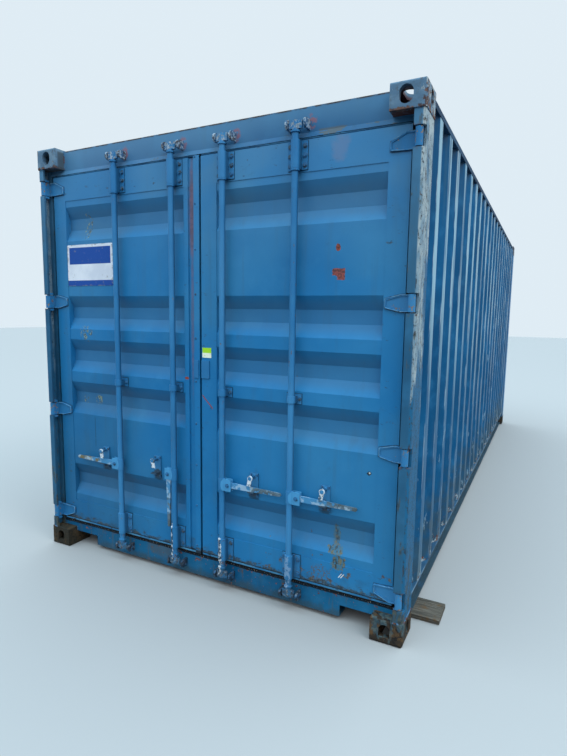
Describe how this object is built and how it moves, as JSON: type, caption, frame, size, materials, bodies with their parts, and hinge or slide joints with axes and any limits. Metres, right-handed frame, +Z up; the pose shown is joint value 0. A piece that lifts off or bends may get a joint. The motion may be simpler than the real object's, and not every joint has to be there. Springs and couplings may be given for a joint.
{
  "type": "shipping container",
  "caption": "Steel freight container of the 20 ft size with corrugated walls, wooden floor and two doors held by lock bars with hinged handles",
  "frame": {"origin": "middle of the container's plan, on the ground under the bottom corner castings", "axes": "+X to the right seen from the door end, +Y from the door end to the rear end, +Z up"},
  "size_m": [2.684, 6.058, 2.591],
  "materials": {
    "frame_paint": "weathered mid blue paint, chalky, chipped to bare steel at the edges",
    "door_paint": "brighter blue paint with red primer and rust showing through",
    "post_paint": "grey-white chalked paint, worn to bare metal",
    "casting_iron": "rusty brown cast steel with traces of paint",
    "bare_steel": "worn bare steel with rust stains",
    "gasket_rubber": "black rubber",
    "plywood": "varnished plywood",
    "timber": "grey weathered softwood"
  },
  "bodies": {
    "container": {"casting_low_door_left": "casting_iron", "casting_low_door_right": "casting_iron", "casting_low_rear_left": "casting_iron", "casting_low_rear_right": "casting_iron", "casting_top_door_left": "frame_paint", "casting_top_door_right": "frame_paint", "casting_top_rear_left": "frame_paint", "casting_top_rear_right": "frame_paint", "post_door_left": "post_paint", "post_rear_left": "frame_paint", "post_door_right": "post_paint", "post_rear_right": "frame_paint", "door_header": "frame_paint", "door_sill": "frame_paint", "rear_header": "frame_paint", "rear_sill": "frame_paint", "top_rail_left": "frame_paint", "bottom_rail_left": "frame_paint", "side_wall_left": "frame_paint", "top_rail_right": "frame_paint", "bottom_rail_right": "frame_paint", "side_wall_right": "frame_paint", "end_wall": "frame_paint", "roof": "frame_paint", "floor": "plywood", "cross_members": "casting_iron", "keepers_top": "bare_steel", "keepers_low": "bare_steel", "hinge_pins_left": "post_paint", "hinge_pins_right": "post_paint", "timber_boards": "timber"},
    "left_leaf": {"left_leaf_frame": "door_paint", "left_leaf_panel": "door_paint", "left_gasket": "gasket_rubber", "left_hinge_blades": "post_paint", "left_bar_brackets": "door_paint", "left_retainers": "door_paint"},
    "right_leaf": {"right_leaf_frame": "door_paint", "right_leaf_panel": "door_paint", "right_gasket": "gasket_rubber", "right_hinge_blades": "post_paint", "right_bar_brackets": "door_paint", "right_retainers": "door_paint"},
    "bar_1": {"lock_bar_1": "door_paint"},
    "grip_1": {"handle_1": "bare_steel"},
    "catch_1": {"hasp_1": "bare_steel"},
    "bar_2": {"lock_bar_2": "door_paint"},
    "grip_2": {"handle_2": "bare_steel"},
    "catch_2": {"hasp_2": "bare_steel"},
    "bar_3": {"lock_bar_3": "door_paint"},
    "grip_3": {"handle_3": "bare_steel"},
    "catch_3": {"hasp_3": "bare_steel"},
    "bar_4": {"lock_bar_4": "door_paint"},
    "grip_4": {"handle_4": "bare_steel"},
    "catch_4": {"hasp_4": "bare_steel"}
  },
  "joints": [
    {"name": "left_door", "type": "hinge", "parent": "container", "child": "left_leaf", "pos_m": [-1.188, -3.005, 1.2935], "axis": [0, 0, -1], "range_deg": [0, 260]},
    {"name": "right_door", "type": "hinge", "parent": "container", "child": "right_leaf", "pos_m": [1.188, -3.005, 1.2935], "axis": [0, 0, 1], "range_deg": [0, 260]},
    {"name": "bar_1_turn", "type": "hinge", "parent": "left_leaf", "child": "bar_1", "pos_m": [-0.593, -3, 1.3], "axis": [0, 0, -1], "range_deg": [-120, 0]},
    {"name": "bar_2_turn", "type": "hinge", "parent": "left_leaf", "child": "bar_2", "pos_m": [-0.17, -3, 1.3], "axis": [0, 0, -1], "range_deg": [-120, 0]},
    {"name": "bar_3_turn", "type": "hinge", "parent": "right_leaf", "child": "bar_3", "pos_m": [0.17, -3, 1.3], "axis": [0, 0, 1], "range_deg": [-120, 0]},
    {"name": "bar_4_turn", "type": "hinge", "parent": "right_leaf", "child": "bar_4", "pos_m": [0.593, -3, 1.3], "axis": [0, 0, 1], "range_deg": [-120, 0]},
    {"name": "handle_1_lift", "type": "hinge", "parent": "bar_1", "child": "grip_1", "pos_m": [-0.634, -3, 0.64], "axis": [0, 1, 0], "range_deg": [0, 14]},
    {"name": "handle_2_lift", "type": "hinge", "parent": "bar_2", "child": "grip_2", "pos_m": [-0.211, -3, 0.64], "axis": [0, 1, 0], "range_deg": [0, 60]},
    {"name": "handle_3_lift", "type": "hinge", "parent": "bar_3", "child": "grip_3", "pos_m": [0.211, -3, 0.64], "axis": [0, -1, 0], "range_deg": [0, 14]},
    {"name": "handle_4_lift", "type": "hinge", "parent": "bar_4", "child": "grip_4", "pos_m": [0.634, -3, 0.64], "axis": [0, -1, 0], "range_deg": [0, 14]},
    {"name": "hasp_1_swing", "type": "hinge", "parent": "left_leaf", "child": "catch_1", "pos_m": [-0.747, -3.013, 0.704], "axis": [0, 1, 0], "range_deg": [0, 150]},
    {"name": "hasp_2_swing", "type": "hinge", "parent": "left_leaf", "child": "catch_2", "pos_m": [-0.324, -3.013, 0.704], "axis": [0, 1, 0], "range_deg": [0, 150]},
    {"name": "hasp_3_swing", "type": "hinge", "parent": "right_leaf", "child": "catch_3", "pos_m": [0.358, -3.013, 0.704], "axis": [0, -1, 0], "range_deg": [0, 150]},
    {"name": "hasp_4_swing", "type": "hinge", "parent": "right_leaf", "child": "catch_4", "pos_m": [0.781, -3.013, 0.704], "axis": [0, -1, 0], "range_deg": [0, 150]}
  ]
}
